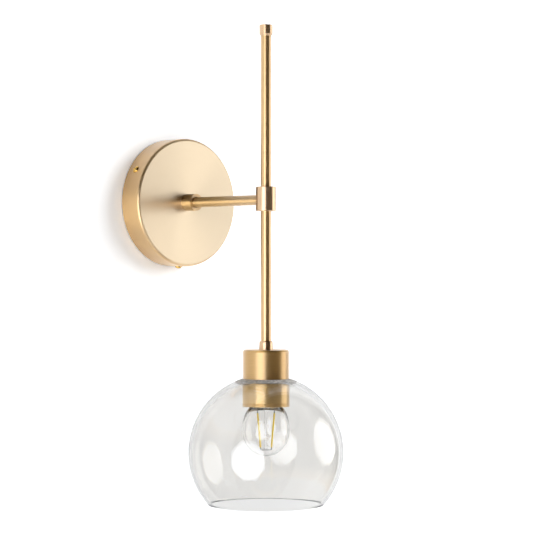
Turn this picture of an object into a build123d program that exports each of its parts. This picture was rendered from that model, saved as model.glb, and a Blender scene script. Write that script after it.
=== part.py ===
from build123d import *
from math import atan2, sqrt, tan
import os

# Globe wall sconce.
# Origin: centre of the canopy's back, on the wall face. +Z up, -Y out of the wall. Millimetres.
# The arm lies level along -Y at z = 0; the two upright tubes share one axis at the arm's far end.

# --------------------------------------------------------------------------------------------
# Driving dimensions
# --------------------------------------------------------------------------------------------
# Stance
arm_reach = 141.0           # wall face to the axis of the upright tubes
cap_top = 169.0             # arm axis up to the top of the closing cap
cup_drop = 144.7            # arm axis down to the top of the lampholder cup

# Fits, each the clearance on a radius or between two faces
tapped_fit = 0.05           # a threaded tube or screw in its tapped bore
hole_fit = 0.2              # a screw or tube in a plain hole
turn_fit = 0.3              # curved faces that turn or travel past each other
seat_gap = 0.1              # flat faces of pieces that come apart

# Threaded lamp tube, the same stock for the arm and both uprights
tube_d = 10.0
tube_wall = 1.0

# Canopy: a pressed dish
canopy_d = 128.6
canopy_depth = 25.3
canopy_sheet = 1.2
canopy_edge = 2.6           # outside radius of the pressed front edge

# Canopy side screws: M4, domed and slotted
side_screw_angles = (30, 150, 270)
side_screw_rise = 11.0      # wall face to the screw axis
side_screw_length = 6.0
screw_d = 4.0
screw_head_d = 7.4
screw_head_height = 2.3
screw_head_rim = 0.6        # straight edge under the dome
screw_slot_width = 1.0
screw_slot_depth = 0.9

# Wall bracket: a pressed steel disc with three bent ears
bracket_d = 110.0
bracket_sheet = 1.5
ear_width = 14.0
ear_height = 17.0
wall_slot_spacing = 70.0
wall_slot_length = 14.0
wall_slot_width = 5.0

# Grommet pressed into the bracket's centre hole, round the supply cable
cable_bore_d = 16.0
grommet_wall = 2.0
grommet_lip = 3.0
grommet_lip_height = 1.5

# Terminal block, on the bracket, lower left of the arm
block_top = -16.0           # height of the wire entries
first_pole_x = -14.0
pole_pitch = 9.5
pole_count = 3
block_depth = 12.0
block_height = 17.0
block_fixing_d = 3.0
block_screw_head_d = 5.6
block_screw_head_height = 1.8
clamp_d = 5.0
clamp_length = 13.0
clamp_screw_d = 2.6
clamp_screw_offset = 3.6    # from the middle of a clamp to each of its two screws
clamp_screw_stand = 1.5     # screw's end above the clamp
kerf_width = 0.5            # slot across the end of a small screw
kerf_depth = 0.6

# Earth screw and the lug under it
earth_screw_x = -22.0
earth_screw_z = 14.0
lug_d = 8.0
lug_sheet = 0.8
lug_barrel_wall = 0.6
lug_barrel_length = 6.0

# Insulated wire
wire_d = 1.8
wire_offset = 1.6           # each wire's distance from the middle of a tube
wire_fit = 0.1              # round a wire in a barrel or clamp
wire_bury = 6.5             # length of a wire below the block's top
tee_bend = 6.0              # bend inside the tee collar
post_bend = 3.0             # bend in the lampholder's wiring space
neutral_rise = 4.0          # straight run above the block before the neutral wire turns
neutral_step = 4.5          # where it crosses in front of the live wire
neutral_bends = [10, 5, 4]
live_bends = [8, 6]
earth_rise = 3.0
earth_run = 7.0             # straight run below the lug's barrel
earth_insert = 4.0          # length in the barrel
earth_bends = [8, 8]

# Arm fixings at the canopy
sleeve_d = 16.8
sleeve_length = 13.5
sleeve_gap = 0.65           # open ring between the arm and the sleeve's mouth
sleeve_mouth_depth = 8.0
washer_d = 18.0
washer_thick = 0.8
washer_teeth = 12
washer_notch = 1.5          # depth and width of the gap between two teeth
nut_across_flats = 14.0
nut_thick = 3.0
arm_tail = 2.0              # thread that stands out of the lock nut
bush_wall = 1.0
bush_length = 5.0
bush_lip = 1.2
bush_lip_height = 1.0

# Tee collar
tee_d = 19.5
tee_height = 23.6
tee_lift = 0.8              # collar's middle above the arm's axis
tee_chamfer = 0.5
tee_port_depth = 8.0        # thread depth of the two upright ports
tee_chamber_d = 8.4

# Closing cap on the upper tube
cap_d = 12.8
cap_length = 10.7
cap_taper_height = 2.0
cap_lip = 0.2               # left at the foot of the taper
cap_crown = 1.5             # metal over the end of the tube
cap_chamfer = 0.4

# Ferrule at the foot of the lower tube
ferrule_height = 8.2
ferrule_foot_d = 13.6
ferrule_head_d = 13.0
ferrule_shoulder = 1.2

# Lampholder cup
cup_d = 44.8
cup_height = 28.1
cup_sheet = 1.0
cup_edge = 2.5

# Lampholder, moulded, in two halves that meet at the contact base
neck_d = 16.0
neck_height = 3.5
holder_roof = 2.5
holder_d = 38.0
holder_wall = 1.6
chamber_height = 10.3       # wiring space over the contact base
base_thick = 4.5
base_fit = 0.1
shade_thread_d = 38.4
shade_thread_start = 1.5    # below the seat of the contact base
shade_thread_length = 16.0
shade_thread_runout = 1.0
holder_foot_d = 36.0
locking_screw_d = 3.0

# Contacts of the lampholder
post_offset = 9.0
post_d = 5.0
post_height = 5.6
post_stud_d = 2.4
post_screw_d = 2.2
post_screw_head_d = 3.8
post_screw_head_height = 1.4
post_bore_rise = 3.0        # base to the middle of the wire hole
strip_width = 5.0
strip_sheet = 0.4
tongue_drop = 2.4           # spring tongue's foot below the base
tongue_half_length = 3.0
strip_overhang = 2.0        # past the post's axis

# Screw shell for the lamp thread
shell_wall = 0.35
shell_drop = 6.15           # contact base to the shell's flange
shell_flange = 1.5
shell_length = 20.35
holder_lip = 1.2

# Glass shade: a blown globe, cut open below and ground flat round its fitter hole
globe_d = 150.0
globe_wall = 3.5
globe_bowl_offset = 1.5     # inside ball's centre below the outside one, so the neck is thick
globe_height = 121.6        # ground neck face to the cut rim
neck_flat_d = 46.6
neck_thick = 5.1
fitter_hole_d = 41.0
rim_round = 0.6

# Washer and shade ring
gasket_thick = 0.8
gasket_width = 2.6
ring_d = 45.5
ring_height = 20.55
ring_thread_length = 8.0
ring_skirt_wall = 1.5
ring_chamfer = 0.4
ring_groove_count = 3
ring_groove_pitch = 0.9
ring_groove_depth = 0.3
ring_groove_start = 1.3     # lower edge to the middle of the first groove

# Lamp
lamp_d = 45.5
lamp_length = 75.0
lamp_cap_length = 26.0
lamp_belly = 23.6           # foot of the lamp to its widest height
lamp_belly_rise = 11.4      # how far the widest part runs up before it turns in
lamp_shoulder_out = 5.4
lamp_shoulder_drop = 4.5
lamp_wall = 0.8
lamp_cap_d = 26.4
lamp_cap_sheet = 0.3
lamp_thread_pitch = 3.629
lamp_thread_turns = 4
lamp_thread_depth = 0.9
lamp_groove_share = 0.6     # of a pitch, the rest being straight
lamp_thread_start = 2.0     # cap edge to the first groove's edge
lamp_neck_fit = 0.2
lamp_neck_length = 12.0
shoulder_height = 3.0       # insulator cone of the cap
insulator_d = 17.2
insulator_height = 1.8
tip_d = 9.4
tip_thick = 0.8
tip_shank_d = 3.0
tip_shank_length = 2.0
board_thick = 1.0
part_height = 3.0
part_offset = 4.0

# Stem, filaments and wires in the lamp
stem_flare_thick = 1.0
stem_press_d = 9.0
stem_press_drop = 2.4       # cap edge to the flat face of the press
stem_flare_drop = 7.0
stem_rod_d = 3.0
filament_d = 1.7
filament_top_offset = 8.2
filament_foot_offset = 5.2
filament_top_drop = 4.6     # cap edge to the filaments' top ends
filament_foot_rise = 7.0    # lamp's foot up to the filaments' lower ends
filament_turn = -43.0       # plan angle of the plane the filaments lie in
filament_end_d = 1.0
filament_end_length = 1.6
lead_d = 0.6
lead_start_offset = 3.2
touch = 0.05                # between pieces that are sealed or welded end to end

# --------------------------------------------------------------------------------------------
# Shared shapes
# --------------------------------------------------------------------------------------------
LOW = (Align.CENTER, Align.CENTER, Align.MIN)
overcut = 1.0
quarter_round = 0.5523      # handle length of a cubic that follows a quarter ellipse
wall = Plane.XZ             # x along the wall, y up, z out of the wall
rods = Pos(0, -arm_reach, 0)
tube_r = tube_d / 2
tapped_r = tube_r + tapped_fit

os.makedirs("parts", exist_ok=True)


def save(node, *solids):
    """Write one node, as one solid or as a group of separate ones."""
    shape = solids[0] if len(solids) == 1 else Compound(list(solids))
    export_step(shape, f"parts/{node}.step")


def bar(radius, low, high):
    """A round bar along Z between two heights."""
    return Pos(0, 0, low) * Cylinder(radius, high - low, align=LOW)


def hollow(outer, inner, low, high):
    """A plain tube along Z."""
    return bar(outer, low, high) - bar(inner, low - overcut, high + overcut)


def turned(*points):
    """A turned solid about Z, from the (radius, height) corners of its half section."""
    return revolve(Plane.XZ * make_face(Polyline(*points, close=True)), Axis.Z)


def hexagon(across_flats, bore, low, high):
    """A hexagon nut along Z."""
    blank = extrude(RegularPolygon(across_flats / 2, 6, major_radius=False), high - low)
    return Pos(0, 0, low) * blank - bar(bore, low - overcut, high + overcut)


def domed_screw(head_d, head_height, shank_d, length):
    """A slotted screw along Z: the shank below z = 0, the domed head above it."""
    rise = head_height - screw_head_rim
    ball = (head_d**2 / 4 + rise**2) / (2 * rise)
    head = bar(head_d / 2, 0, head_height) & Pos(0, 0, head_height - ball) * Sphere(ball)
    slot = Pos(0, 0, head_height - screw_slot_depth) * Box(
        head_d + overcut, screw_slot_width, head_height, align=LOW)
    return head - slot + bar(shank_d / 2, -length, 0)


def kerf(screw_width, top):
    """The slot across the end of a small screw along Z."""
    return Pos(0, 0, top - kerf_depth) * Box(
        screw_width + overcut, kerf_width, kerf_depth + overcut, align=LOW)


def strand(points, radii):
    """An insulated wire along straight runs joined by arcs."""
    path = FilletPolyline(*points, radius=radii)
    return sweep(Plane(origin=path @ 0, z_dir=path % 0) * Circle(wire_d / 2), path=path)


def along_x(shape):
    """Turn a shape that stands along Z so that it points along X."""
    return Rot(Y=90) * shape


def along_y(shape):
    """Turn a shape that stands along Z so that it points along Y."""
    return Rot(X=-90) * shape


# --------------------------------------------------------------------------------------------
# Wall bracket and canopy, built on the wall plane
# --------------------------------------------------------------------------------------------
canopy_r = canopy_d / 2
canopy_inner_r = canopy_r - canopy_sheet
ear_face = sqrt(canopy_inner_r**2 - (ear_width / 2) ** 2) - turn_fit
grommet_r = cable_bore_d / 2 + grommet_wall

plate = bar(bracket_d / 2, 0, bracket_sheet)
for angle in side_screw_angles:
    foot_length = ear_face - bracket_d / 4
    foot = Pos(bracket_d / 4, 0, 0) * Box(
        foot_length, ear_width, bracket_sheet, align=(Align.MIN, Align.CENTER, Align.MIN))
    ear = Pos(ear_face, 0, 0) * Box(
        bracket_sheet, ear_width, ear_height, align=(Align.MAX, Align.CENTER, Align.MIN))
    tapped = Pos(0, 0, side_screw_rise) * along_x(bar(screw_d / 2 + tapped_fit, bracket_d / 4, canopy_r))
    plate += Rot(Z=angle) * (foot + ear)
    plate -= Rot(Z=angle) * tapped
plate -= bar(grommet_r, -overcut, bracket_sheet + overcut)
for angle in (0, 90, 180, 270):
    slot = extrude(SlotOverall(wall_slot_length, wall_slot_width), bracket_sheet + 2 * overcut)
    plate -= Rot(Z=angle) * Pos(wall_slot_spacing / 2, 0, -overcut) * slot
earth_spot = Pos(earth_screw_x, earth_screw_z, 0)
plate -= earth_spot * bar(screw_d / 2 + tapped_fit, -overcut, bracket_sheet + overcut)
pole_x = [first_pole_x - i * pole_pitch for i in range(pole_count)]
pole_z = block_top - block_height / 2
pole_rise = bracket_sheet + block_depth / 2
fixing_spot = Pos((pole_x[0] + pole_x[1]) / 2, pole_z, 0)
plate -= fixing_spot * bar(block_fixing_d / 2 + tapped_fit, -overcut, bracket_sheet + overcut)
save("wall_bracket", wall * plate)

grommet = turned(
    (cable_bore_d / 2, 0), (grommet_r - tapped_fit, 0), (grommet_r - tapped_fit, bracket_sheet),
    (grommet_r + grommet_lip, bracket_sheet),
    (grommet_r + grommet_lip, bracket_sheet + grommet_lip_height / 2),
    (grommet_r + grommet_lip / 2, bracket_sheet + grommet_lip_height),
    (cable_bore_d / 2, bracket_sheet + grommet_lip_height))
save("cable_grommet", wall * grommet)

dish = bar(canopy_r, 0, canopy_depth)
dish = fillet(dish.edges().filter_by(GeomType.CIRCLE).sort_by(Axis.Z)[-1], canopy_edge)
cavity = bar(canopy_inner_r, -overcut, canopy_depth - canopy_sheet)
if canopy_edge > canopy_sheet:
    cavity = fillet(cavity.edges().filter_by(GeomType.CIRCLE).sort_by(Axis.Z)[-1], canopy_edge - canopy_sheet)
dish -= cavity
dish -= bar(tube_r + hole_fit, 0, canopy_depth + overcut)
side_screws = []
for angle in side_screw_angles:
    spot = Rot(Z=angle) * Pos(0, 0, side_screw_rise)
    dish -= spot * along_x(bar(screw_d / 2 + hole_fit, canopy_inner_r - overcut, canopy_r + overcut))
    screw = domed_screw(screw_head_d, screw_head_height, screw_d, side_screw_length)
    side_screws.append(wall * (spot * Pos(canopy_r + touch, 0, 0) * along_x(screw)))
save("canopy", wall * dish)
save("canopy_screws", *side_screws)

# --------------------------------------------------------------------------------------------
# Terminal block and earth point, on the bracket
# --------------------------------------------------------------------------------------------
clamp_r = clamp_d / 2
block = Pos((pole_x[0] + pole_x[-1]) / 2, pole_z, bracket_sheet) * Box(
    pole_pitch * pole_count, block_height, block_depth, align=LOW)
for x in pole_x:
    block -= Pos(x, pole_z, pole_rise) * along_y(bar(clamp_r + tapped_fit, -block_height, block_height))
clamps, clamp_screws = [], []
for x in pole_x:
    barrel = Pos(x, pole_z, pole_rise) * along_y(
        hollow(clamp_r, wire_d / 2 + wire_fit, -clamp_length / 2, clamp_length / 2))
    for side in (-1, 1):
        spot = Pos(x, pole_z + side * clamp_screw_offset, 0)
        access = spot * bar(clamp_screw_d / 2 + hole_fit, pole_rise, bracket_sheet + block_depth + overcut)
        tapping = spot * bar(clamp_screw_d / 2 + tapped_fit, pole_rise, pole_rise + block_depth)
        screw_end = pole_rise + clamp_r + clamp_screw_stand
        shank = bar(clamp_screw_d / 2, pole_rise + wire_d / 2 + wire_fit, screw_end)
        block -= access
        barrel -= tapping
        clamp_screws.append(wall * (spot * (shank - kerf(clamp_screw_d, screw_end))))
    clamps.append(wall * barrel)
block -= fixing_spot * bar(block_fixing_d / 2 + hole_fit, 0, bracket_sheet + block_depth + overcut)
save("terminal_block", wall * block)
save("terminal_clamps", *clamps)
save("terminal_screws", *clamp_screws)
block_front = bracket_sheet + block_depth
fixing = domed_screw(block_screw_head_d, block_screw_head_height, block_fixing_d, block_front)
save("block_fixing_screw", wall * (fixing_spot * Pos(0, 0, block_front) * fixing))

lug_top = bracket_sheet + lug_sheet
barrel_inner = wire_d / 2 + wire_fit
barrel_outer = barrel_inner + lug_barrel_wall
barrel_mouth = earth_screw_z - lug_d / 2 - lug_barrel_length
barrel_rise = bracket_sheet + barrel_outer
tongue = Pos(earth_screw_x, earth_screw_z - lug_d / 2, bracket_sheet) * Box(
    2 * barrel_inner, lug_d / 2, lug_sheet, align=(Align.CENTER, Align.CENTER, Align.MIN))
crimp = Pos(earth_screw_x, 0, barrel_rise) * along_y(
    bar(barrel_outer, barrel_mouth, barrel_mouth + lug_barrel_length))
crimp_bore = Pos(earth_screw_x, 0, barrel_rise) * along_y(
    bar(barrel_inner, barrel_mouth - overcut, barrel_mouth + lug_barrel_length - lug_barrel_wall))
lug = earth_spot * bar(lug_d / 2, bracket_sheet, lug_top) + tongue + crimp - crimp_bore
lug -= earth_spot * bar(screw_d / 2 + hole_fit, 0, lug_top + overcut)
save("earth_lug", wall * lug)
earth_screw = domed_screw(screw_head_d, screw_head_height, screw_d, lug_top)
save("earth_screw", wall * (earth_spot * Pos(0, 0, lug_top) * earth_screw))

# --------------------------------------------------------------------------------------------
# Arm: threaded tube through the canopy, sleeve outside, washer and nut inside
# --------------------------------------------------------------------------------------------
nut_seat = canopy_depth - canopy_sheet - washer_thick
arm_back = nut_seat - nut_thick - arm_tail
arm_front = arm_reach - tube_r - turn_fit
bush_r = tube_r - tube_wall - tapped_fit
save("arm_tube", wall * hollow(tube_r, tube_r - tube_wall, arm_back, arm_front))
sleeve_front = canopy_depth + sleeve_length
sleeve = turned(
    (tapped_r, canopy_depth), (sleeve_d / 2, canopy_depth), (sleeve_d / 2, sleeve_front),
    (tube_r + sleeve_gap, sleeve_front), (tube_r + sleeve_gap, sleeve_front - sleeve_mouth_depth),
    (tapped_r, sleeve_front - sleeve_mouth_depth))
save("arm_sleeve", wall * sleeve)
washer = hollow(washer_d / 2, tube_r + hole_fit, nut_seat, nut_seat + washer_thick)
for tooth in range(washer_teeth):
    washer -= Rot(Z=tooth * 360 / washer_teeth) * Pos(washer_d / 2, 0, nut_seat - overcut) * Box(
        2 * washer_notch, washer_notch, washer_thick + 2 * overcut, align=LOW)
save("lock_washer", wall * washer)
save("lock_nut", wall * hexagon(nut_across_flats, tapped_r, nut_seat - nut_thick, nut_seat))
bush = turned(
    (bush_r - bush_wall, arm_back - bush_lip_height), (bush_r + bush_lip, arm_back - bush_lip_height),
    (bush_r + bush_lip, arm_back), (bush_r, arm_back), (bush_r, arm_back + bush_length),
    (bush_r - bush_wall, arm_back + bush_length))
save("arm_bush", wall * bush)

# --------------------------------------------------------------------------------------------
# Tee collar and the two uprights
# --------------------------------------------------------------------------------------------
tee_top = tee_lift + tee_height / 2
tee_foot = tee_lift - tee_height / 2
tee_r = tee_d / 2
upper_start = tee_top - tee_port_depth
lower_start = tee_foot + tee_port_depth
tee = turned(
    (0, tee_foot), (tee_r - tee_chamfer, tee_foot), (tee_r, tee_foot + tee_chamfer),
    (tee_r, tee_top - tee_chamfer), (tee_r - tee_chamfer, tee_top), (0, tee_top))
tee -= bar(tee_chamber_d / 2, tee_foot, tee_top)
tee -= bar(tapped_r, upper_start, tee_top + overcut)
tee -= bar(tapped_r, tee_foot - overcut, lower_start)
tee -= along_y(bar(tapped_r, 0, tee_r + overcut))
save("tee_collar", rods * tee)

cap_foot = cap_top - cap_length
rod_end = cap_top - cap_crown
save("upper_rod", rods * hollow(tube_r, tube_r - tube_wall, upper_start, rod_end))
closing_cap = turned(
    (tapped_r, cap_foot), (tapped_r + cap_lip, cap_foot), (cap_d / 2, cap_foot + cap_taper_height),
    (cap_d / 2, cap_top - cap_chamfer), (cap_d / 2 - cap_chamfer, cap_top), (0, cap_top),
    (0, rod_end), (tapped_r, rod_end))
save("top_cap", rods * closing_cap)

cup_top = -cup_drop
cup_nut_top = cup_top - cup_sheet
holder_top = cup_nut_top - nut_thick
roof_under = holder_top - neck_height - holder_roof
save("lower_rod", rods * hollow(tube_r, tube_r - tube_wall, roof_under, lower_start))
ferrule_top = cup_top + ferrule_height
ferrule = turned(
    (tapped_r, cup_top), (ferrule_foot_d / 2, cup_top),
    (ferrule_head_d / 2, ferrule_top - ferrule_shoulder),
    (ferrule_head_d / 2 - ferrule_shoulder / 2, ferrule_top), (tapped_r, ferrule_top))
save("rod_ferrule", rods * ferrule)

# --------------------------------------------------------------------------------------------
# Lampholder cup and the lampholder in it
# --------------------------------------------------------------------------------------------
cup_rim = cup_top - cup_height
cup = bar(cup_d / 2, cup_rim, cup_top)
cup = fillet(cup.edges().filter_by(GeomType.CIRCLE).sort_by(Axis.Z)[-1], cup_edge)
hollowing = bar(cup_d / 2 - cup_sheet, cup_rim - overcut, cup_top - cup_sheet)
if cup_edge > cup_sheet:
    hollowing = fillet(hollowing.edges().filter_by(GeomType.CIRCLE).sort_by(Axis.Z)[-1], cup_edge - cup_sheet)
cup = cup - hollowing - bar(tube_r + hole_fit, cup_rim, cup_top + overcut)
save("lampholder_cup", rods * cup)
save("cup_nut", rods * hexagon(nut_across_flats, tapped_r, holder_top, cup_nut_top))

holder_r = holder_d / 2
base_r = holder_r - holder_wall - base_fit
base_top = roof_under - chamber_height
base_foot = base_top - base_thick
neck_foot = holder_top - neck_height
holder_cap = turned(
    (tapped_r, holder_top), (neck_d / 2, holder_top), (neck_d / 2, neck_foot),
    (holder_r - holder_roof, neck_foot), (holder_r, neck_foot - holder_roof), (holder_r, base_top),
    (holder_r - holder_wall, base_top), (holder_r - holder_wall, roof_under - holder_wall),
    (holder_r - 2 * holder_wall, roof_under), (tapped_r, roof_under))
screw_line = Pos(0, 0, (holder_top + neck_foot) / 2)
holder_cap -= screw_line * along_y(bar(locking_screw_d / 2 + tapped_fit, 0, neck_d))
save("lampholder_cap", rods * holder_cap)
grub = bar(locking_screw_d / 2, tube_r + touch, neck_d / 2) - kerf(locking_screw_d, neck_d / 2)
save("locking_screw", rods * (screw_line * along_y(grub)))

shell_r = lamp_cap_d / 2 + turn_fit
shell_top = base_foot - shell_drop
shell_foot = shell_top - shell_length
shell_bore = shell_r + shell_wall + tapped_fit
thread_r = shade_thread_d / 2
thread_top = base_foot - shade_thread_start
thread_foot = thread_top - shade_thread_length
holder_foot = shell_foot - turn_fit - holder_lip
holder_body = turned(
    (base_r + base_fit, base_top), (holder_r, base_top), (holder_r, thread_top), (thread_r, thread_top),
    (thread_r, thread_foot), (holder_foot_d / 2, thread_foot - shade_thread_runout),
    (holder_foot_d / 2, holder_foot),
    (shell_r, holder_foot), (shell_r, shell_foot - turn_fit), (shell_bore, shell_foot - turn_fit),
    (shell_bore, base_foot), (base_r + base_fit, base_foot))
save("lampholder_body", rods * holder_body)

stud_hole = post_stud_d / 2 + tapped_fit
base = bar(base_r, base_foot, base_top)
posts, post_screws = [], []
for side in (-1, 1):
    spot = Pos(side * post_offset, 0, 0)
    base -= spot * bar(stud_hole, base_foot - overcut, base_top + overcut)
    post = spot * (bar(post_d / 2, base_top, base_top + post_height)
                   + bar(post_stud_d / 2, base_foot, base_top))
    wire_line = Rot(Z=90 - 90 * side) * Pos(0, 0, base_top + post_bore_rise)
    post -= wire_line * along_x(bar(wire_d / 2 + wire_fit, 0, post_offset + wire_d / 2))
    post -= spot * bar(
        post_screw_d / 2 + tapped_fit, base_top + post_bore_rise, base_top + post_height + overcut)
    posts.append(rods * post)
    clamp_line = base_top + post_bore_rise + wire_d / 2 + wire_fit
    shank = bar(post_screw_d / 2, clamp_line, base_top + post_height)
    knob_top = base_top + post_height + post_screw_head_height
    knob = bar(post_screw_head_d / 2, base_top + post_height, knob_top)
    post_screws.append(rods * (spot * (shank + knob - kerf(post_screw_head_d, knob_top))))
save("contact_base", rods * base)
save("terminal_posts", *posts)
save("post_screws", *post_screws)

foot = base_foot
reach = post_offset + strip_overhang
lean = strip_sheet * tan(atan2(tongue_drop - strip_sheet, tongue_half_length) / 2)
tongue_line = [
    (reach, foot), (2 * tongue_half_length, foot), (tongue_half_length, foot - tongue_drop + strip_sheet),
    (-tongue_half_length, foot - tongue_drop + strip_sheet), (-tongue_half_length, foot - tongue_drop),
    (tongue_half_length + lean, foot - tongue_drop), (2 * tongue_half_length + lean, foot - strip_sheet),
    (reach, foot - strip_sheet)]
centre_contact = extrude(Plane.XZ * make_face(Polyline(*tongue_line, close=True)), strip_width / 2, both=True)
save("centre_contact", rods * centre_contact)
side_x = sqrt((shell_bore - seat_gap) ** 2 - (strip_width / 2) ** 2)
side_line = [
    (-post_offset + strip_overhang, foot), (-side_x, foot), (-side_x, shell_top),
    (-side_x + strip_sheet, shell_top), (-side_x + strip_sheet, foot - strip_sheet),
    (-post_offset + strip_overhang, foot - strip_sheet)]
side_contact = extrude(Plane.XZ * make_face(Polyline(*side_line, close=True)), strip_width / 2, both=True)
save("side_contact", rods * side_contact)
screw_shell = turned(
    (shell_r - shell_flange, shell_top), (shell_r + shell_wall, shell_top),
    (shell_r + shell_wall, shell_foot), (shell_r, shell_foot), (shell_r, shell_top - shell_wall),
    (shell_r - shell_flange, shell_top - shell_wall))
save("screw_shell", rods * screw_shell)

# --------------------------------------------------------------------------------------------
# Glass shade, washer and shade ring
# --------------------------------------------------------------------------------------------
globe_r = globe_d / 2
bowl_r = globe_r - globe_wall
neck_top = cup_rim - seat_gap
neck_under = neck_top - neck_thick
globe_z = neck_top - sqrt(globe_r**2 - (neck_flat_d / 2) ** 2)
bowl_z = globe_z - globe_bowl_offset
rim_z = neck_top - globe_height


def round_at(radius, centre, height):
    """Radius of a ball's section at a height."""
    return sqrt(radius**2 - (height - centre) ** 2)


outer_rim = (round_at(globe_r, globe_z, rim_z), rim_z)
inner_rim = (round_at(bowl_r, bowl_z, rim_z), rim_z)
inner_neck = (round_at(bowl_r, bowl_z, neck_under), neck_under)
hole_r = fitter_hole_d / 2
section = make_face([
    Line((hole_r, neck_top), (neck_flat_d / 2, neck_top)),
    ThreePointArc((neck_flat_d / 2, neck_top), (globe_r, globe_z), outer_rim),
    Line(outer_rim, inner_rim),
    ThreePointArc(inner_rim, (bowl_r, bowl_z), inner_neck),
    Line(inner_neck, (hole_r, neck_under)),
    Line((hole_r, neck_under), (hole_r, neck_top))])
section = fillet(section.vertices().group_by(Axis.Y)[0], rim_round)
glass = revolve(Plane.XZ * section, Axis.Z)
save("glass_shade", rods * glass)

ring_bore = thread_r + turn_fit
gasket_r = ring_bore + turn_fit
gasket_under = neck_under - gasket_thick
save("shade_washer", rods * hollow(gasket_r + gasket_width, gasket_r, gasket_under, neck_under))

ring_r = ring_d / 2
ring_top = gasket_under - touch
ring_foot = ring_top - ring_height
skirt_bore = ring_r - ring_skirt_wall
shade_ring = turned(
    (ring_bore, ring_top), (ring_r - ring_chamfer, ring_top), (ring_r, ring_top - ring_chamfer),
    (ring_r, ring_foot + ring_chamfer), (ring_r - ring_chamfer, ring_foot), (skirt_bore, ring_foot),
    (skirt_bore, ring_top - ring_thread_length - (skirt_bore - ring_bore)),
    (ring_bore, ring_top - ring_thread_length))
for i in range(ring_groove_count):
    z = ring_foot + ring_groove_start + i * ring_groove_pitch
    shade_ring -= turned(
        (ring_r - ring_groove_depth, z), (ring_r + ring_groove_depth, z - 2 * ring_groove_depth),
        (ring_r + ring_groove_depth, z + 2 * ring_groove_depth))
save("shade_ring", rods * shade_ring)

# --------------------------------------------------------------------------------------------
# Lamp
# --------------------------------------------------------------------------------------------
lamp_r = lamp_d / 2
lamp_cap_r = lamp_cap_d / 2
tip_top = base_foot - tongue_drop - seat_gap
lamp_foot = tip_top - lamp_length
cap_edge = tip_top - lamp_cap_length
belly_z = lamp_foot + lamp_belly
cap_root = lamp_cap_r - lamp_thread_depth - lamp_cap_sheet
neck_outer = cap_root - lamp_neck_fit
neck_inner = neck_outer - lamp_wall
neck_end = cap_edge + lamp_neck_length
glass_edge = cap_edge - touch


def lamp_curve(inset):
    """Half outline of the bulb at a depth under its outside: foot to belly, then belly to neck."""
    foot_z = lamp_foot + inset
    radius = lamp_r - inset
    lower = Bezier(
        (0, foot_z), (quarter_round * radius, foot_z),
        (radius, belly_z - quarter_round * (belly_z - foot_z)), (radius, belly_z))
    end = (neck_inner, glass_edge - lamp_wall) if inset else (lamp_cap_r, glass_edge)
    shoulder = (end[0] + lamp_shoulder_out, end[1] - lamp_shoulder_drop)
    upper = Bezier((radius, belly_z), (radius, belly_z + lamp_belly_rise), shoulder, end)
    return lower, upper, end


outside_low, outside_high, outside_end = lamp_curve(0)
inside_low, inside_high, inside_end = lamp_curve(lamp_wall)
bulb_section = make_face([
    outside_low, outside_high, Line(outside_end, (neck_outer, glass_edge)),
    Line((neck_outer, glass_edge), (neck_outer, neck_end)),
    Line((neck_outer, neck_end), (neck_inner, neck_end)),
    Line((neck_inner, neck_end), inside_end), inside_high, inside_low,
    Line((0, lamp_foot + lamp_wall), (0, lamp_foot))])
save("bulb_glass", rods * revolve(Plane.XZ * bulb_section, Axis.Z))

insulator_foot = tip_top - tip_thick - insulator_height
shoulder_z = insulator_foot - shoulder_height


def cap_side(radius):
    """One face of the rolled cap from its edge up to the insulator, with the thread's grooves."""
    z = cap_edge + lamp_thread_start
    edges = [Line((radius, cap_edge), (radius, z))]
    for _ in range(lamp_thread_turns):
        top = z + lamp_thread_pitch * lamp_groove_share
        middle = (z + top) / 2
        edges.append(ThreePointArc((radius, z), (radius - lamp_thread_depth, middle), (radius, top)))
        edges.append(Line((radius, top), (radius, z + lamp_thread_pitch)))
        z += lamp_thread_pitch
    edges.append(Line((radius, z), (radius, shoulder_z)))
    return edges


throat = insulator_d / 2 + touch
inner_face = lamp_cap_r - lamp_cap_sheet
cap_section = make_face(
    cap_side(lamp_cap_r)
    + [Line((lamp_cap_r, shoulder_z), (throat, insulator_foot)),
       Line((throat, insulator_foot), (throat, insulator_foot - 2 * lamp_cap_sheet)),
       Line((throat, insulator_foot - 2 * lamp_cap_sheet), (inner_face, shoulder_z))]
    + cap_side(inner_face)
    + [Line((inner_face, cap_edge), (lamp_cap_r, cap_edge))])
save("bulb_cap", rods * revolve(Plane.XZ * cap_section, Axis.Z))

shank_r = tip_shank_d / 2
insulator_top = tip_top - tip_thick - touch
insulator = turned(
    (shank_r + tapped_fit, insulator_top), (tip_d / 2, insulator_top), (insulator_d / 2, insulator_foot),
    (insulator_d / 2, insulator_foot - tip_thick), (shank_r + tapped_fit, insulator_foot - tip_thick))
save("bulb_insulator", rods * insulator)
tip_under = tip_top - tip_thick
tip = bar(tip_d / 2, tip_under, tip_top) + bar(shank_r, tip_under - tip_shank_length, tip_top)
save("bulb_tip", rods * tip)

board_foot = neck_end + touch
board_top = board_foot + board_thick
board = bar(neck_outer, board_foot, board_top)
for side in (-1, 1):
    board += Pos(side * part_offset, 0, board_top) * Box(part_offset, part_offset, part_height, align=LOW)
save("bulb_driver_board", rods * board)

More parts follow.
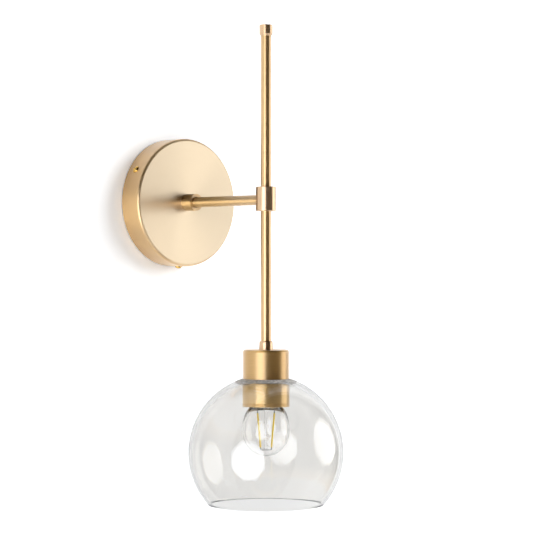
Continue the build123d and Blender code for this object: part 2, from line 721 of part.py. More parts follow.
# Stem, filaments and wires, set out in the lamp's own plane and turned about its axis
filament_top = cap_edge - filament_top_drop
filament_foot = lamp_foot + filament_foot_rise
cross_z = filament_foot - 3 * lead_d / 2
stem_foot = cross_z + lead_d / 2 + touch
press_foot = cap_edge - stem_press_drop
flare_top = neck_end - stem_flare_thick
flare_foot = flare_top - stem_flare_thick
flare_r = neck_inner - lamp_neck_fit
stem = turned(
    (0, flare_top), (flare_r, flare_top), (flare_r, flare_foot),
    (stem_press_d / 2, flare_foot - stem_flare_drop), (stem_press_d / 2, press_foot),
    (stem_rod_d / 2, press_foot), (stem_rod_d / 2, stem_foot), (0, stem_foot))
save("bulb_stem", rods * stem)


def pin(start, end, radius):
    """A round bar between two points."""
    span = Vector(*end) - Vector(*start)
    return Plane(origin=start, z_dir=span) * Cylinder(radius, span.length, align=LOW)


def lead(points):
    """A stiff bare wire with small bends, through (x, z) points of the filaments' plane."""
    path = FilletPolyline(*[(x, 0, z) for x, z in points], radius=lead_d)
    return sweep(Plane(origin=path @ 0, z_dir=path % 0) * Circle(lead_d / 2), path=path)


lamp_turn = rods * Rot(Z=filament_turn)
filaments, filament_ends, leads = [], [], []
for side in (-1, 1):
    top = Vector(side * filament_top_offset, 0, filament_top)
    low = Vector(side * filament_foot_offset, 0, filament_foot)
    step = (low - top).normalized() * filament_end_length
    filaments.append(lamp_turn * pin(top + step, low - step, filament_d / 2))
    filament_ends.append(lamp_turn * pin(top, top + step, filament_end_d / 2))
    filament_ends.append(lamp_turn * pin(low - step, low, filament_end_d / 2))
    bend_z = (press_foot + filament_top) / 2
    leads.append(lamp_turn * lead([
        (side * lead_start_offset, press_foot - touch), (side * lead_start_offset, bend_z),
        (side * filament_top_offset, bend_z), (side * filament_top_offset, filament_top + lead_d / 2)]))
cross_wire = lead([
    (-filament_foot_offset, filament_foot - touch), (-filament_foot_offset, cross_z),
    (filament_foot_offset, cross_z), (filament_foot_offset, filament_foot - touch)])
save("bulb_filaments", *filaments)
save("bulb_filament_ends", *filament_ends)
save("bulb_lead_wires", *leads)
save("bulb_cross_wire", lamp_turn * cross_wire)

# --------------------------------------------------------------------------------------------
# Wires of the fixture: block to arm, through the tee, down to the lampholder's posts
# --------------------------------------------------------------------------------------------
block_y = -pole_rise
wire_start = block_top - wire_bury
post_z = base_top + post_bore_rise
post_end = post_offset - wire_offset / 2


def house_wire(side, pole, corners, radii):
    """One supply wire: from a clamp along its corners in the canopy, then arm, rod and post."""
    way = [(pole, block_y, wire_start)] + corners + [
        (side * wire_offset, -arm_reach, 0), (side * wire_offset, -arm_reach, post_z),
        (side * post_end, -arm_reach, post_z)]
    return strand(way, radii + [tee_bend, post_bend])


neutral_corners = [
    (pole_x[0], block_y, block_top + neutral_rise),
    (pole_x[0] + neutral_rise, block_y - neutral_step, 0), (-wire_offset, block_y - neutral_step, 0)]
save("neutral_wire", house_wire(-1, pole_x[0], neutral_corners, neutral_bends))
live_corners = [(pole_x[1], block_y, 0), (wire_offset, block_y, 0)]
save("live_wire", house_wire(1, pole_x[1], live_corners, live_bends))
earth_way = [
    (pole_x[2], block_y, wire_start), (pole_x[2], block_y, block_top + earth_rise),
    (earth_screw_x, -barrel_rise, barrel_mouth - earth_run),
    (earth_screw_x, -barrel_rise, barrel_mouth + earth_insert)]
save("earth_wire", strand(earth_way, earth_bends))
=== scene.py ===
import math

import bmesh
import bpy
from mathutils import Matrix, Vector


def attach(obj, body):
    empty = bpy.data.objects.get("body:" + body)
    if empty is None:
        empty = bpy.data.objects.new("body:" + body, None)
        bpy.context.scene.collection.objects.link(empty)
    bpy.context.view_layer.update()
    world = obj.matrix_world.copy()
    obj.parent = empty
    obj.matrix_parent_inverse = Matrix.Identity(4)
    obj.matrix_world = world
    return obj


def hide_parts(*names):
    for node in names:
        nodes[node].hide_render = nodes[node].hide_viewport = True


# Globe wall sconce: a round canopy, a level arm, two upright tubes on one axis, a lampholder cup and
# a clear open globe round a golf-ball lamp. Everything is in metres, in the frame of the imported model.
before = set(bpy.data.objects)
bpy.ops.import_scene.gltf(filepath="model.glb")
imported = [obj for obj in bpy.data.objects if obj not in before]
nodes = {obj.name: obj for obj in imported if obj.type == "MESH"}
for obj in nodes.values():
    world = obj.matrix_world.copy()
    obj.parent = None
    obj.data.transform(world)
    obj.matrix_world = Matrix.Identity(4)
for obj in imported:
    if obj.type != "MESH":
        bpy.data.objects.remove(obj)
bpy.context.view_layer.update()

# ---------------------------------------------------------------------------------------------
# Camera
# It stands 43 degrees round to the left and 1.9 m from the uprights, with a long lens, and looks
# level at the middle of the sconce's height.
# ---------------------------------------------------------------------------------------------
REACH = 0.141                       # wall to the axis of the uprights
TURN = math.radians(43.11)          # camera's way round from straight in front
CAMERA_DISTANCE = 1.9244
CAMERA_ASIDE, CAMERA_LEVEL = 0.0005, -0.0645
toward = Vector((-math.sin(TURN), -math.cos(TURN), 0))
right = Vector((math.cos(TURN), -math.sin(TURN), 0))
axis = Vector((0, -REACH, 0))

lens = bpy.data.cameras.new("camera")
lens.sensor_width = 36
lens.lens = 134.5
lens.clip_end = 50
camera = bpy.data.objects.new("camera", lens)
camera.location = axis + toward * CAMERA_DISTANCE + right * CAMERA_ASIDE + Vector((0, 0, CAMERA_LEVEL))
camera.rotation_euler = (math.pi / 2, 0, -TURN)
bpy.context.scene.collection.objects.link(camera)
bpy.context.scene.camera = camera
bpy.context.scene.view_settings.view_transform = "Standard"


# ---------------------------------------------------------------------------------------------
# Studio light
# A pale room all round lights the sconce a little, and a key lamp and a fill lamp do the rest. Two
# octagonal softboxes and a dark studio in front of the wall show only as reflections, and cast
# no light.
# ---------------------------------------------------------------------------------------------
GLOBE_LEVEL = -0.244                # the lamps face the globe's middle
FLOOR_LEVEL = -1.45
STUDIO_RADIUS, STUDIO_STRAIGHT, STUDIO_TOP = 2.3, 0.4, 1.6
STUDIO_STEPS = 16                   # sides of the half round studio


def connect(tree, node, inputs):
    """Gives inputs of a node their value, or another node's output."""
    for key, value in inputs.items():
        if isinstance(value, bpy.types.NodeSocket):
            tree.links.new(value, node.inputs[key])
        else:
            node.inputs[key].default_value = value


def make(tree, kind, inputs=None, **settings):
    """A shader node with its settings and inputs."""
    node = tree.nodes.new("ShaderNode" + kind)
    for key, value in settings.items():
        setattr(node, key, value)
    connect(tree, node, inputs or {})
    return node


def calc(tree, operation, *terms):
    """The result of a Math node."""
    return make(tree, "Math", dict(enumerate(terms)), operation=operation).outputs[0]


def mix_shaders(tree, factor, first, second):
    return make(tree, "MixShader", {0: factor, 1: first.outputs[0], 2: second.outputs[0]})


def blank_material(name):
    material = bpy.data.materials.new(name)
    material.use_nodes = True
    material.node_tree.nodes.clear()
    return material, material.node_tree


def shown_as_background(tree, in_glass):
    """1 for a ray from the camera or off metal, in_glass off or through clear glass, and 0 for a
    ray that carries light to the sconce."""
    path = make(tree, "LightPath").outputs
    seen = calc(tree, "MAXIMUM", path["Is Camera Ray"], path["Is Glossy Ray"])
    share = make(tree, "MapRange", {"Value": path["Is Singular Ray"], "To Min": 1, "To Max": in_glass})
    undiffused = calc(tree, "LESS_THAN", path["Diffuse Depth"], 0.5)
    return calc(tree, "MULTIPLY", calc(tree, "MULTIPLY", seen, share.outputs[0]), undiffused)


def shown_if_reflected(tree, cloth):
    """Clear to every ray that hasn't come off metal or glass."""
    reflected = calc(tree, "GREATER_THAN", make(tree, "LightPath").outputs["Glossy Depth"], 0.5)
    return mix_shaders(tree, reflected, make(tree, "BsdfTransparent"), cloth)


def sheet(name, rows):
    """A thin staged sheet through rows of points, or one flat outline."""
    if len(rows) == 1:
        points, faces = rows[0], [tuple(range(len(rows[0])))]
    else:
        wide = len(rows[0])
        points = [p for row in rows for p in row]
        faces = [(wide * j + i, wide * j + i + 1, wide * j + i + wide + 1, wide * j + i + wide)
                 for j in range(len(rows) - 1) for i in range(wide - 1)]
    mesh = bpy.data.meshes.new(name)
    mesh.from_pydata([tuple(p) for p in points], [], faces)
    piece = bpy.data.objects.new(name, mesh)
    bpy.context.scene.collection.objects.link(piece)
    return piece


world = bpy.data.worlds.new("white_room")
world.use_nodes = True
world.node_tree.nodes.clear()
bpy.context.scene.world = world
tree = world.node_tree
light = make(tree, "Background", {"Color": (0.95, 0.99, 1.05, 1), "Strength": 0.32})
white = make(tree, "Background", {"Color": (1, 1, 1, 1), "Strength": 1})
room = mix_shaders(tree, shown_as_background(tree, in_glass=0.5), light, white)
make(tree, "OutputWorld", {"Surface": room.outputs[0]})


def softbox(name, degrees, rise, distance, half_width, half_height, colour, strength, reflected):
    """An octagonal lamp, degrees round to the right of the camera and above the globe's level.
    A reflected one shows in metal and glass and casts no light, and any other only casts light."""
    a, b = math.radians(degrees), math.radians(rise)
    facing = (toward * math.cos(a) + right * math.sin(a)) * math.cos(b) + Vector((0, 0, math.sin(b)))
    across = facing.cross(Vector((0, 0, 1))).normalized()
    upward = across.cross(facing)
    middle = axis + Vector((0, 0, GLOBE_LEVEL)) + facing * distance
    corners = []
    for i in range(8):              # it stands on one of its eight sides
        t = math.radians(45 * (i + 0.5))
        corners.append(middle + across * half_width * math.cos(t) + upward * half_height * math.sin(t))
    lamp = sheet(name, [corners])
    lamp.visible_camera = lamp.visible_shadow = False
    lamp.visible_diffuse = not reflected
    lamp.visible_glossy = lamp.visible_transmission = reflected
    material, tree = blank_material(name + "_cloth")
    cloth = make(tree, "Emission", {"Color": (*colour, 1), "Strength": strength})
    if reflected:
        cloth = shown_if_reflected(tree, cloth)
        material.cycles.emission_sampling = "NONE"
    make(tree, "OutputMaterial", {"Surface": cloth.outputs[0]})
    lamp.data.materials.append(material)


softbox("softbox_left", degrees=-27, rise=-6, distance=1.5, half_width=0.74, half_height=0.82,
        colour=(0.98, 1.01, 1.06), strength=4.1, reflected=True)
softbox("softbox_right", degrees=102, rise=10, distance=1.5, half_width=0.70, half_height=0.60,
        colour=(1, 0.99, 0.97), strength=2.4, reflected=True)
softbox("fill_light", degrees=-20, rise=0, distance=1.6, half_width=0.74, half_height=0.82,
        colour=(1, 1, 1), strength=0.8, reflected=False)
softbox("key_light", degrees=88, rise=18, distance=4.0, half_width=1.5, half_height=1.3,
        colour=(1, 1, 1), strength=5.4, reflected=False)

half_round = [math.pi * i / STUDIO_STEPS for i in range(STUDIO_STEPS + 1)]
studio_rows = []
for height in (FLOOR_LEVEL, STUDIO_STRAIGHT, STUDIO_TOP):
    studio_rows.append([Vector((-STUDIO_RADIUS * math.cos(a), -STUDIO_RADIUS * math.sin(a), height))
                        for a in half_round])
studio_rows.append([Vector((0, 0, STUDIO_TOP))] * (STUDIO_STEPS + 1))
studio = sheet("dark_studio", studio_rows)
studio.visible_camera = studio.visible_diffuse = studio.visible_shadow = False
material, tree = blank_material("dark_studio_drape")
place = make(tree, "SeparateXYZ", {0: make(tree, "TexCoord").outputs["Object"]})
paler_below = make(tree, "MapRange", {"Value": place.outputs["Z"], "From Min": FLOOR_LEVEL, "From Max": -0.5,
                                      "To Min": 0.9, "To Max": 0.075}, interpolation_type="SMOOTHSTEP")
drape = make(tree, "Emission", {"Color": (1, 0.84, 0.66, 1), "Strength": paler_below.outputs[0]})
make(tree, "OutputMaterial", {"Surface": shown_if_reflected(tree, drape).outputs[0]})
studio.data.materials.append(material)


# ---------------------------------------------------------------------------------------------
# Wall and floor
# White painted board, open behind the canopy as over a wiring box, and clear from its back, so that
# the sconce's own back shows. The floor is well below, as under any wall light. Both keep the
# sconce's shadow, and read as white where it doesn't fall.
# ---------------------------------------------------------------------------------------------
WALL_PLANE = 0.0006                 # just behind the canopy's rim
WALL_RADIUS, OPENING_RADIUS = 4, 0.055
WALL_STEPS = 64
PAINT, PAINT_AS_SEEN, PAINT_GLOW = 0.86, 1.5, 0.04


def painted(name, one_sided):
    material, tree = blank_material(name)
    shown = shown_as_background(tree, in_glass=0.27)
    white = make(tree, "MapRange", {"Value": shown, "To Min": PAINT, "To Max": PAINT_AS_SEEN})
    paint = make(tree, "BsdfDiffuse", {"Color": white.outputs[0]})
    glow = make(tree, "Emission", {"Strength": calc(tree, "MULTIPLY", shown, PAINT_GLOW)})
    paint = make(tree, "AddShader", {0: paint.outputs[0], 1: glow.outputs[0]})
    if one_sided:
        behind = make(tree, "NewGeometry").outputs["Backfacing"]
        paint = mix_shaders(tree, behind, paint, make(tree, "BsdfTransparent"))
    make(tree, "OutputMaterial", {"Surface": paint.outputs[0]})
    return material


all_round = [2 * math.pi * i / WALL_STEPS for i in range(WALL_STEPS + 1)]
wall = sheet("wall", [[(radius * math.cos(a), WALL_PLANE, radius * math.sin(a)) for a in all_round]
                      for radius in (WALL_RADIUS, OPENING_RADIUS)])
wall.data.materials.append(painted("wall_paint", one_sided=True))
floor_corners = ((-1, -1), (1, -1), (1, 1), (-1, 1))
floor = sheet("floor", [[(WALL_RADIUS * x, WALL_RADIUS * y, FLOOR_LEVEL) for x, y in floor_corners]])
floor.data.materials.append(painted("floor_paint", one_sided=False))


# ---------------------------------------------------------------------------------------------
# Canopy
# Spun from 1.2 mm brass sheet, its face brushed in circles and lacquered. It drops over the
# bracket's three ears, and three domed brass screws hold it there from the side.
# Its face is painted a paler cream than its side: a painted highlight for the lit face, on one and the same
# brass.
# ---------------------------------------------------------------------------------------------
FACE_EDGE, SIDE_EDGE = 0.0615, 0.0642       # where the canopy's face ends and its side begins


def colour(code):
    """A six-digit colour code as the linear values that a shader takes."""
    parts = [int(code[i:i + 2], 16) / 255 for i in (0, 2, 4)]
    return (*[p / 12.92 if p <= 0.04045 else ((p + 0.055) / 1.055) ** 2.4 for p in parts], 1)


def shader(name):
    """A new material with its Principled shader."""
    material = bpy.data.materials.new(name)
    material.use_nodes = True
    return material, material.node_tree, material.node_tree.nodes["Principled BSDF"]


def dress(material, *names):
    """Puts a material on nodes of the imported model."""
    for name in names:
        nodes[name].data.materials.clear()
        nodes[name].data.materials.append(material)


def two_tones(tree, mask, tone, other):
    """The colour between two tones, by a mask over the surface."""
    return make(tree, "Mix", {"Factor": mask, "A": tone, "B": other}, data_type="RGBA").outputs["Result"]


# Marks of brushing or turning: fine lines across one direction, broken up along their length. The
# lacquer's slow cloudiness makes the gloss a little uneven too.
marks = bpy.data.node_groups.new("brushed_marks", "ShaderNodeTree")
for label, kind, value in (("Across", "NodeSocketFloat", 0), ("Position", "NodeSocketVector", None),
                           ("Lines per metre", "NodeSocketFloat", 3000),
                           ("Tone", "NodeSocketColor", None), ("Tone in lines", "NodeSocketColor", None),
                           ("Roughness", "NodeSocketFloat", 0.25), ("Spread", "NodeSocketFloat", 0.05)):
    socket = marks.interface.new_socket(label, in_out="INPUT", socket_type=kind)
    if value is not None:
        socket.default_value = value
for label, kind in (("Color", "NodeSocketColor"), ("Roughness", "NodeSocketFloat"),
                    ("Height", "NodeSocketFloat")):
    marks.interface.new_socket(label, in_out="OUTPUT", socket_type=kind)
given = marks.nodes.new("NodeGroupInput").outputs
line_count = calc(marks, "MULTIPLY", given["Across"], given["Lines per metre"])
line_spot = make(marks, "CombineXYZ", {"X": line_count})
slow = make(marks, "VectorMath", {0: given["Position"], "Scale": 60}, operation="SCALE")
spot = make(marks, "VectorMath", {0: line_spot.outputs[0], 1: slow.outputs[0]}, operation="ADD")
lines = make(marks, "TexNoise", {"Vector": spot.outputs[0], "Scale": 1, "Detail": 3}).outputs[0]
cloud = make(marks, "TexNoise", {"Vector": given["Position"], "Scale": 22, "Detail": 2}).outputs[0]
uneven = calc(marks, "SUBTRACT", calc(marks, "ADD", lines, cloud), 1)
rough = calc(marks, "MULTIPLY_ADD", uneven, given["Spread"], given["Roughness"])
tones = two_tones(marks, lines, given["Tone"], given["Tone in lines"])
connect(marks, marks.nodes.new("NodeGroupOutput"), {"Color": tones, "Roughness": rough, "Height": lines})


def brushed(name, across, tone, tone_in_lines, lines_per_metre, roughness, spread, depth, coat_ior, streak):
    """Brushed brass under lacquer. The marks lie across X, Y or Z, or the radius round the canopy's
    middle. streak is how far they draw out a reflection."""
    material, tree, surface = shader(name)
    spot = make(tree, "TexCoord").outputs["Object"]
    place = make(tree, "SeparateXYZ", {0: spot}).outputs
    if across == "radius":
        flat = make(tree, "CombineXYZ", {"X": place["X"], "Z": place["Z"]})
        distance = make(tree, "VectorMath", {0: flat.outputs[0]}, operation="LENGTH").outputs["Value"]
    else:
        distance = place[across]
    mark = make(tree, "Group", {
        "Across": distance, "Position": spot, "Lines per metre": lines_per_metre, "Tone": colour(tone),
        "Tone in lines": colour(tone_in_lines), "Roughness": roughness, "Spread": spread,
    }, node_tree=marks).outputs
    tones = mark["Color"]
    # Round the canopy the face gets a paler, less saturated tone than the side past FACE_EDGE: a painted
    # highlight, not a different metal.
    if across == "radius":
        side = make(tree, "MapRange", {"Value": distance, "From Min": FACE_EDGE, "From Max": SIDE_EDGE})
        tones = two_tones(tree, side.outputs[0], tones, colour("D6AF74"))
    bump = make(tree, "Bump", {"Height": mark["Height"], "Strength": 0.35, "Distance": depth})
    turning = make(tree, "Tangent", direction_type="RADIAL", axis="Z" if across == "Z" else "Y")
    connect(tree, surface, {
        "Base Color": tones, "Metallic": 1, "Roughness": mark["Roughness"], "Normal": bump.outputs["Normal"],
        "Coat Weight": 1, "Coat IOR": coat_ior, "Coat Roughness": 0.3,
        "Anisotropic": streak, "Anisotropic Rotation": 0.25, "Tangent": turning.outputs[0],
    })
    return material


# DFCCAE on the face is a painted highlight; the side's D6AF74 is the canopy's brass tone.
dress(brushed("canopy_brass", "radius", "DFCCAE", "DAC6A5", lines_per_metre=5200, roughness=0.40, spread=0.03,
              depth=0.000004, coat_ior=1.7, streak=0.86), "canopy")
dress(brushed("screw_brass", "Z", "D6AC4E", "C49A3C", lines_per_metre=4000, roughness=0.18, spread=0.06,
              depth=0.00001, coat_ior=1.5, streak=0), "canopy_screws")

# ---------------------------------------------------------------------------------------------
# Arm, sleeve, tee collar, upright tubes, closing cap and ferrule
# Brass lamp tube and turned brass fittings screwed onto it, satin brushed and lacquered. The arm
# comes out through the canopy and holds the tee collar, and the uprights screw into the collar.
# ---------------------------------------------------------------------------------------------
dress(brushed("tube_brass", "Z", "D6B077", "CFA86E", lines_per_metre=2500, roughness=0.34, spread=0.03,
              depth=0.000002, coat_ior=1.7, streak=0.95), "upper_rod", "lower_rod")
dress(brushed("fitting_brass", "Z", "D8B388", "D1AB7E", lines_per_metre=2500, roughness=0.28, spread=0.03,
              depth=0.000002, coat_ior=1.8, streak=0.95), "tee_collar", "top_cap", "rod_ferrule")
dress(brushed("arm_brass", "Y", "DEB87C", "D4AD70", lines_per_metre=2500, roughness=0.50, spread=0.04,
              depth=0.000002, coat_ior=1.7, streak=0.97), "arm_tube", "arm_sleeve")

# ---------------------------------------------------------------------------------------------
# Lampholder cup and shade ring
# Pressed and turned brass with the same satin lacquer; the lathe's marks run round both, and the
# ring screws up the lampholder's thread to clamp the glass.
# ---------------------------------------------------------------------------------------------
dress(brushed("cup_brass", "Z", "D5AB64", "CA9F58", lines_per_metre=1500, roughness=0.50, spread=0.06,
              depth=0.000004, coat_ior=1.7, streak=0.9), "lampholder_cup")
# The ring's tone is painted lighter than the cup's, though both are the same brass: painted light, so the
# ring reads bright behind the glass.
dress(brushed("ring_brass", "Z", "F0CB88", "E6C07C", lines_per_metre=1500, roughness=0.50, spread=0.06,
              depth=0.000004, coat_ior=1.7, streak=0.9), "shade_ring")


# ---------------------------------------------------------------------------------------------
# Steel and brass inside the canopy and the lampholder
# Zinc-plated bracket, nuts and screws, bare brass contacts and clamps, and tinned copper, stamped
# or turned. All of it is out of sight once the canopy, the cup and the lamp are in place.
# ---------------------------------------------------------------------------------------------
def mottled(name, tone, tone_in_patches, roughness, spread, patches, metal=0):
    """A surface with fine uneven patches, so many in a metre, such as plating, moulding or rubber."""
    material, tree, surface = shader(name)
    spot = make(tree, "TexCoord").outputs["Object"]
    grain = make(tree, "TexNoise", {"Vector": spot, "Scale": patches, "Detail": 4}).outputs[0]
    rough = make(tree, "MapRange", {"Value": grain, "To Min": roughness - spread,
                                    "To Max": roughness + spread})
    bump = make(tree, "Bump", {"Height": grain, "Strength": 0.4, "Distance": 0.00002})
    connect(tree, surface, {
        "Base Color": two_tones(tree, grain, colour(tone), colour(tone_in_patches)),
        "Metallic": metal, "Roughness": rough.outputs[0], "Normal": bump.outputs["Normal"],
    })
    return material


dress(mottled("zinc_plate", "B9BCC2", "A3A7AE", roughness=0.34, spread=0.08, patches=260, metal=1),
      "wall_bracket", "lock_washer", "lock_nut", "cup_nut", "terminal_screws", "block_fixing_screw",
      "earth_screw", "locking_screw", "post_screws")
dress(mottled("contact_brass", "C9A15A", "B88F4A", roughness=0.28, spread=0.07, patches=300, metal=1),
      "terminal_clamps", "terminal_posts", "centre_contact", "side_contact", "screw_shell")
dress(mottled("tinned_copper", "C6C4BF", "B4B1AA", roughness=0.32, spread=0.06, patches=300, metal=1),
      "earth_lug", "bulb_tip")

# ---------------------------------------------------------------------------------------------
# Mouldings, ceramic and rubber
# Black moulded lampholder and bush, white terminal block, glazed ceramic contact base, a rubber
# grommet round the supply cable and the clear silicone washer under the glass.
# ---------------------------------------------------------------------------------------------
dress(mottled("black_moulding", "1C1C1C", "141414", roughness=0.42, spread=0.06, patches=900),
      "lampholder_body", "lampholder_cap", "arm_bush")
dress(mottled("white_moulding", "E4E2DA", "D8D5CB", roughness=0.40, spread=0.06, patches=700),
      "terminal_block")
dress(mottled("glazed_ceramic", "E6E3DA", "DDD8CC", roughness=0.16, spread=0.05, patches=120),
      "contact_base")
dress(mottled("black_rubber", "191919", "101010", roughness=0.62, spread=0.06, patches=900),
      "cable_grommet")
dress(mottled("clear_silicone", "A9ABAB", "9DA0A0", roughness=0.38, spread=0.05, patches=500),
      "shade_washer")

# ---------------------------------------------------------------------------------------------
# Wires
# Flexible conductors in plastic insulation. Live and neutral run from the terminal block through
# the arm and the lower tube, and earth from the block to the bracket.
# ---------------------------------------------------------------------------------------------
dress(mottled("blue_insulation", "2B4FA0", "24458F", roughness=0.36, spread=0.05, patches=700),
      "neutral_wire")
dress(mottled("brown_insulation", "5B3420", "4E2B1A", roughness=0.36, spread=0.05, patches=700),
      "live_wire")
dress(mottled("earth_insulation", "5E9A2E", "D9C227", roughness=0.36, spread=0.05, patches=60),
      "earth_wire")


# ---------------------------------------------------------------------------------------------
# Globe shade
# Clear soda glass, mouth-blown, cut open below with a fire-polished rim, and ground flat round the
# hole above, where the ring clamps it. Its wall is slightly wavy, most of all near the neck.
# ---------------------------------------------------------------------------------------------
NECK_TOP, NECK_UNDER, RIM = -0.1729, -0.1780, -0.2945       # heights
BALL, BOWL, NECK_FLAT, HOLE = 0.075, 0.0715, 0.0233, 0.0205     # radii: outside, inside, flat, hole
BOWL_DROP = 0.0015                  # the inside ball sits lower, so the wall is thicker at the neck
EDGE, RIM_ROUND = 0.0002, 0.0006    # ground edges and fire-polished rim
WAVE, WAVE_FOOT, WAVE_RISE = 0.0001, -0.205, 0.032      # depth, lowest height, growth
FROST = -0.1755                     # the ground band's lower edge


def lathe(name, outline, steps, ripple=None):
    """A solid turned about the uprights' axis from a closed outline of (radius, height) points."""
    shape = bmesh.new()
    rings = []
    for radius, height in outline:
        ring = []
        for i in range(steps):
            a = 2 * math.pi * i / steps
            grown = radius + (ripple(a, radius, height) if ripple else 0)
            ring.append(shape.verts.new((grown * math.cos(a), -REACH + grown * math.sin(a), height)))
        rings.append(ring)
    for lower, upper in zip(rings, rings[1:] + rings[:1]):
        for i in range(steps):
            j = (i + 1) % steps
            shape.faces.new((lower[i], lower[j], upper[j], upper[i]))
    bmesh.ops.recalc_face_normals(shape, faces=shape.faces)
    for face in shape.faces:
        face.smooth = True
    mesh = bpy.data.meshes.new(name)
    shape.to_mesh(mesh)
    shape.free()
    piece = bpy.data.objects.new(name, mesh)
    bpy.context.scene.collection.objects.link(piece)
    return piece


def clear_glass(name, tint, ior):
    material, tree, surface = shader(name)
    connect(tree, surface, {"Base Color": tint, "Roughness": 0, "IOR": ior, "Transmission Weight": 1})
    return material


def arc(radius, middle, start, end, count):
    """Points of a ball's outline between two heights, evenly round it."""
    a, b = math.asin((start - middle) / radius), math.asin((end - middle) / radius)
    turns = [a + (b - a) * i / (count - 1) for i in range(count)]
    return [(radius * math.cos(t), middle + radius * math.sin(t)) for t in turns]


def rounded_rim(outer, inner, count):
    """The fire-polished edge from the outside ball round to the inside one."""
    middle = ((outer[0] + inner[0]) / 2, outer[1])
    half = (outer[0] - inner[0]) / 2
    points = []
    for i in range(1, count):
        a = math.pi * i / count
        flat = math.copysign(abs(math.cos(a)) ** 0.5, math.cos(a))
        points.append((middle[0] + half * flat, middle[1] - RIM_ROUND * math.sin(a) ** 0.5))
    return points


def blown(a, radius, height):
    """The blown wall's fine unevenness, which grows towards the neck and leaves the hole round."""
    if radius < NECK_FLAT + 0.001:
        return 0
    rise = max(0, (height - WAVE_FOOT) / WAVE_RISE)
    return WAVE * rise * rise * math.sin(7 * a + 160 * height) * math.sin(5 * a - 90 * height)


ball_middle = NECK_TOP - math.sqrt(BALL ** 2 - NECK_FLAT ** 2)
bowl_middle = ball_middle - BOWL_DROP
outside = arc(BALL, ball_middle, NECK_TOP - EDGE, RIM + RIM_ROUND, 90)
inside = arc(BOWL, bowl_middle, RIM + RIM_ROUND, NECK_UNDER, 86)
ground = [(HOLE, NECK_UNDER), (HOLE, NECK_UNDER + EDGE), (HOLE, NECK_TOP - EDGE),
          (HOLE + EDGE, NECK_TOP), (NECK_FLAT - 0.0003, NECK_TOP)]
globe = lathe("globe", outside + rounded_rim(outside[-1], inside[0], 8) + inside + ground, 192, blown)
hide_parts("glass_shade")
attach(globe, "shade")
globe.visible_shadow = globe.visible_diffuse = False
globe.data.materials.append(clear_glass("globe_glass", (0.992, 0.982, 0.96, 1), 1.52))

# The ground neck: frosted by the grinding, so it scatters light and looks grey.
material, tree, surface = shader("ground_glass")
spot = make(tree, "TexCoord").outputs["Object"]
grit = make(tree, "TexNoise", {"Vector": spot, "Scale": 450, "Detail": 3}).outputs[0]
contrast = make(tree, "MapRange", {"Value": grit, "From Min": 0.42, "From Max": 0.58})
bump = make(tree, "Bump", {"Height": grit, "Strength": 0.5, "Distance": 0.0001})
connect(tree, surface, {
    "Base Color": two_tones(tree, contrast.outputs[0], colour("E4E1DC"), colour("B4B1AD")),
    "Roughness": 0.5, "Transmission Weight": 0.25, "Normal": bump.outputs["Normal"],
})
globe.data.materials.append(material)
for face in globe.data.polygons:
    in_hole = face.center.z > NECK_UNDER - 0.0001 and (face.center - axis).xy.length < HOLE + EDGE
    if face.center.z > FROST or in_hole:
        face.material_index = 1

# ---------------------------------------------------------------------------------------------
# Lamp
# Golf-ball filament lamp: clear glass, nickel screw cap, glass stem, two phosphor-coated filaments
# on bare wires, black glass insulator and a small driver board in the neck.
# ---------------------------------------------------------------------------------------------
CAP_EDGE, FOOT, BELLY = -0.1980, -0.2470, -0.2234       # heights
BULB, BULB_WALL, CAP = 0.02275, 0.00035, 0.0132         # radius, thickness, the cap's radius
IN_CAP, IN_CAP_BORE, IN_CAP_LENGTH = 0.0118, 0.011, 0.012       # the glass neck inside the cap
BELLY_HANDLE = 0.0135               # how far the curve goes straight up from the belly
SHOULDER_OUT, SHOULDER_DROP = 0.0066, 0.0036        # and how it comes to the cap's edge
QUARTER = 0.5523                    # handle length that makes a curve a quarter of a circle
POINTED = 0.00002                   # the outline ends this near the axis


def bend(p, q, r, s, count):
    """Points along a smooth curve with two end points and two handles, without its first."""
    points = []
    for i in range(1, count + 1):
        t = i / count
        u = 1 - t
        weights = (u ** 3, 3 * u * u * t, 3 * u * t * t, t ** 3)
        points.append(tuple(sum(w * point[k] for w, point in zip(weights, (p, q, r, s))) for k in (0, 1)))
    return points


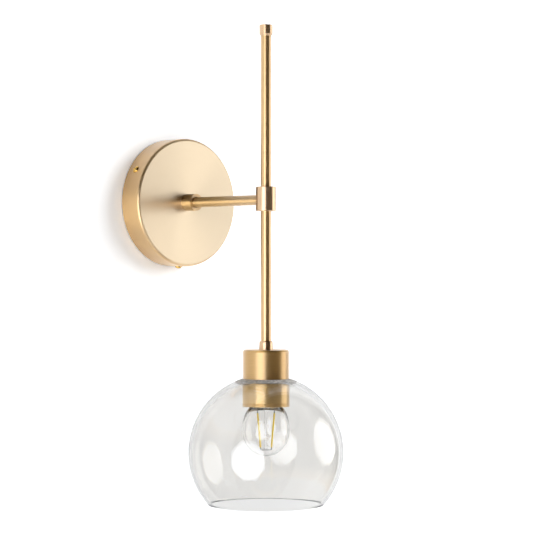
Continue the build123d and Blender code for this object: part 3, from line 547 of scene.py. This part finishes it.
def bulb_side(inset, end):
    """The bulb's outline at a depth under its outside, foot to neck."""
    foot, radius = FOOT + inset, BULB - inset
    belly = (radius, BELLY)
    low = bend((0, foot), (QUARTER * radius, foot), (radius, BELLY - QUARTER * (BELLY - foot)), belly, 40)
    near_end = (end[0] + SHOULDER_OUT, end[1] - SHOULDER_DROP)
    high = bend(belly, (radius, BELLY + BELLY_HANDLE), near_end, end, 36)
    return [(POINTED, foot)] + low + high


shoulder = CAP_EDGE - 0.00005       # just clear of the cap's edge
bulb_outside = bulb_side(0, (CAP, shoulder))
bulb_inside = bulb_side(BULB_WALL, (IN_CAP_BORE, CAP_EDGE - 0.00085))
bulb_neck = [(IN_CAP, shoulder), (IN_CAP, CAP_EDGE + IN_CAP_LENGTH), (IN_CAP_BORE, CAP_EDGE + IN_CAP_LENGTH)]
bulb = lathe("bulb", bulb_outside + bulb_neck + bulb_inside[::-1], 128)
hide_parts("bulb_glass")
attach(bulb, "lamp")
lamp_glass = clear_glass("lamp_glass", (1, 1, 1, 1), 1.6)
bulb.data.materials.append(lamp_glass)
dress(lamp_glass, "bulb_stem")
for piece in (bulb, nodes["bulb_stem"]):
    piece.visible_shadow = piece.visible_diffuse = False

dress(mottled("nickel_cap", "C2C2C0", "ADADAA", roughness=0.30, spread=0.06, patches=300, metal=1),
      "bulb_cap")
dress(mottled("black_cap_glass", "0C0C0D", "151516", roughness=0.12, spread=0.04, patches=200),
      "bulb_insulator")
dress(mottled("driver_board", "3A6B3F", "2F5A35", roughness=0.45, spread=0.05, patches=400),
      "bulb_driver_board")
phosphor_with_painted_glow = mottled("phosphor_with_painted_glow", "FFE25C", "F8D548", roughness=0.50, spread=0.06, patches=900)
# The faint yellow emission is a painted glow: the lamp is off, and it only makes the filaments read brighter.
connect(phosphor_with_painted_glow.node_tree, phosphor_with_painted_glow.node_tree.nodes["Principled BSDF"],
        {"Emission Color": colour("FFD94F"), "Emission Strength": 0.2})
dress(phosphor_with_painted_glow, "bulb_filaments")
dress(mottled("lead_wire", "8F8F8F", "7D7D7D", roughness=0.34, spread=0.06, patches=600, metal=1),
      "bulb_filament_ends", "bulb_lead_wires", "bulb_cross_wire")
